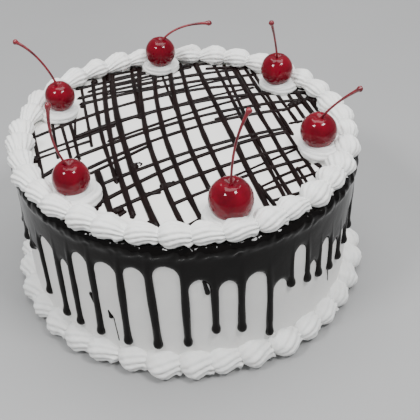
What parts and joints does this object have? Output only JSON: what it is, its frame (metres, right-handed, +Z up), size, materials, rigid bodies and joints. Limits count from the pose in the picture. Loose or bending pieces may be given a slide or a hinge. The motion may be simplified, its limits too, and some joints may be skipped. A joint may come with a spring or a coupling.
{
  "type": "cake",
  "caption": "Round white frosted cake with a dark chocolate drip glaze, a chocolate lattice on top, piped cream borders, and stemmed cherries on cream rosettes.",
  "frame": {"origin": "middle of the cake's flat underside", "axes": "+Z up, along the cake's axis; the side seen from the front faces -Y; +X to the right of that view"},
  "size_m": [0.2354, 0.2354, 0.1652],
  "materials": {
    "white_frosting": "soft satin frosting",
    "piped_cream": "soft satin whipped cream",
    "chocolate_glaze": "glossy dark chocolate",
    "cherry_red": "wet, glossy, deep red",
    "stem_red": "dull, dark red"
  },
  "bodies": {
    "root": {"cake": "white_frosting", "glaze": "chocolate_glaze", "top_border": "piped_cream", "base_border": "piped_cream", "rosette_front": "piped_cream", "rosette_left": "piped_cream", "rosette_back_left": "piped_cream", "rosette_back": "piped_cream", "rosette_back_right": "piped_cream", "rosette_right": "piped_cream", "cherry_front": "cherry_red", "cherry_left": "cherry_red", "cherry_back_left": "cherry_red", "cherry_back": "cherry_red", "cherry_back_right": "cherry_red", "cherry_right": "cherry_red", "stem_front": "stem_red", "stem_left": "stem_red", "stem_back_left": "stem_red", "stem_back": "stem_red", "stem_back_right": "stem_red", "stem_right": "stem_red"}
  },
  "joints": []
}
